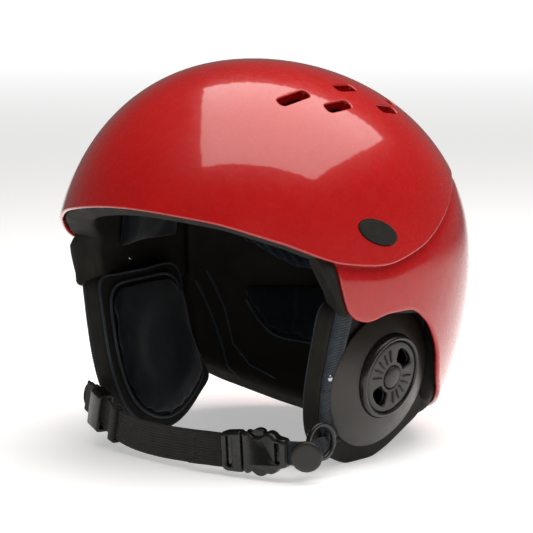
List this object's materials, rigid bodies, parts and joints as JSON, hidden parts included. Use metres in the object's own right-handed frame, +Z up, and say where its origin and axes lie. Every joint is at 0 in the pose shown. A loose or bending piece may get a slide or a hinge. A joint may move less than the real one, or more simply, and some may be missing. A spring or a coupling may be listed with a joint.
{
  "type": "water sports helmet",
  "caption": "Hard shell water helmet with a second shell over the crown, foam liner, padded ear cups with turning sound dials, and a buckled chin strap.",
  "frame": {"origin": "centre of the helmet's bounding box at its base, on the surface it stands on", "axes": "+Z up, -Y the way the wearer faces, +X the wearer's left"},
  "size_m": [0.2236, 0.2576, 0.2243],
  "materials": {
    "red_shell": "high gloss injection moulded ABS, even red",
    "red_cover": "high gloss injection moulded ABS cover, even red",
    "black_gloss": "moulded nylon and acetal, soft gloss, warm black",
    "black_satin": "moulded ABS, satin, warm black",
    "eva_foam": "closed cell EVA foam, cut and thermoformed, fine matte skin",
    "pad_fabric": "blue-black brushed stretch fabric over soft foam",
    "webbing": "ribbed polyester webbing, blue-black",
    "steel": "polished stainless rivet"
  },
  "bodies": {
    "helmet": {"main_shell": "red_shell", "crown_cover": "red_cover", "liner_crown": "eva_foam", "liner_brow": "eva_foam", "liner_rear": "eva_foam", "crown_pad": "pad_fabric", "brow_pad": "pad_fabric", "rear_pad": "pad_fabric", "nape_pad": "pad_fabric", "side_plug_left": "black_satin", "liner_temple_left": "eva_foam", "side_pad_left": "pad_fabric", "temple_rivet_left": "steel", "ear_foam_left": "eva_foam", "ear_pad_left": "pad_fabric", "ear_dome_left": "black_satin", "ear_bezel_left": "black_gloss", "ear_port_plate_left": "black_gloss", "dial_hub_left": "black_satin", "ear_strap_left": "webbing", "strap_rivet_left": "steel", "side_plug_right": "black_satin", "liner_temple_right": "eva_foam", "side_pad_right": "pad_fabric", "temple_rivet_right": "steel", "ear_foam_right": "eva_foam", "ear_pad_right": "pad_fabric", "ear_dome_right": "black_satin", "ear_bezel_right": "black_gloss", "ear_port_plate_right": "black_gloss", "dial_hub_right": "black_satin", "ear_strap_right": "webbing", "strap_rivet_right": "steel"},
    "chin_strap": {"chin_webbing": "webbing", "keeper_loop": "webbing", "buckle_female": "black_gloss", "strap_loop": "black_gloss", "loop_webbing": "webbing", "loop_cap": "black_gloss"},
    "slider": {"strap_slider": "black_gloss"},
    "buckle_insert": {"buckle_male": "black_gloss"},
    "prong_upper": {"buckle_prong_upper": "black_gloss"},
    "prong_lower": {"buckle_prong_lower": "black_gloss"},
    "dial_left": {"ear_dial_left": "black_satin"},
    "dial_right": {"ear_dial_right": "black_satin"}
  },
  "joints": [
    {"name": "dial_left_turn", "type": "hinge", "parent": "helmet", "child": "dial_left", "pos_m": [0.09874, -0.01236, 0.05055], "axis": [0.9789, -0.0751, -0.1902], "range_deg": [0, 90]},
    {"name": "dial_right_turn", "type": "hinge", "parent": "helmet", "child": "dial_right", "pos_m": [-0.09874, -0.01236, 0.05055], "axis": [-0.9789, -0.0751, -0.1902], "range_deg": [0, 90]},
    {"name": "strap_swing", "type": "hinge", "parent": "helmet", "child": "chin_strap", "pos_m": [0.086, -0.06223, 0.021], "axis": [0.9989, 0.0241, -0.0391], "range_deg": [-30, 20]},
    {"name": "slider_travel", "type": "slide", "parent": "chin_strap", "child": "slider", "axis": [0.896, -0.3506, -0.2727], "range_m": [0, 0.006]},
    {"name": "buckle_release", "type": "slide", "parent": "chin_strap", "child": "buckle_insert", "axis": [-0.9861, -0.1562, -0.0576], "range_m": [0, 0.02], "deforming": ["chin_webbing"]},
    {"name": "prong_upper_flex", "type": "hinge", "parent": "buckle_insert", "child": "prong_upper", "pos_m": [0.04911, -0.08337, 0.02346], "axis": [-0.1564, 0.9877, 0], "range_deg": [0, 7], "stiffness_Nm_per_rad": 0.2},
    {"name": "prong_lower_flex", "type": "hinge", "parent": "buckle_insert", "child": "prong_lower", "pos_m": [0.0501, -0.08321, 0.00609], "axis": [0.1564, -0.9877, 0], "range_deg": [0, 7], "stiffness_Nm_per_rad": 0.2}
  ]
}
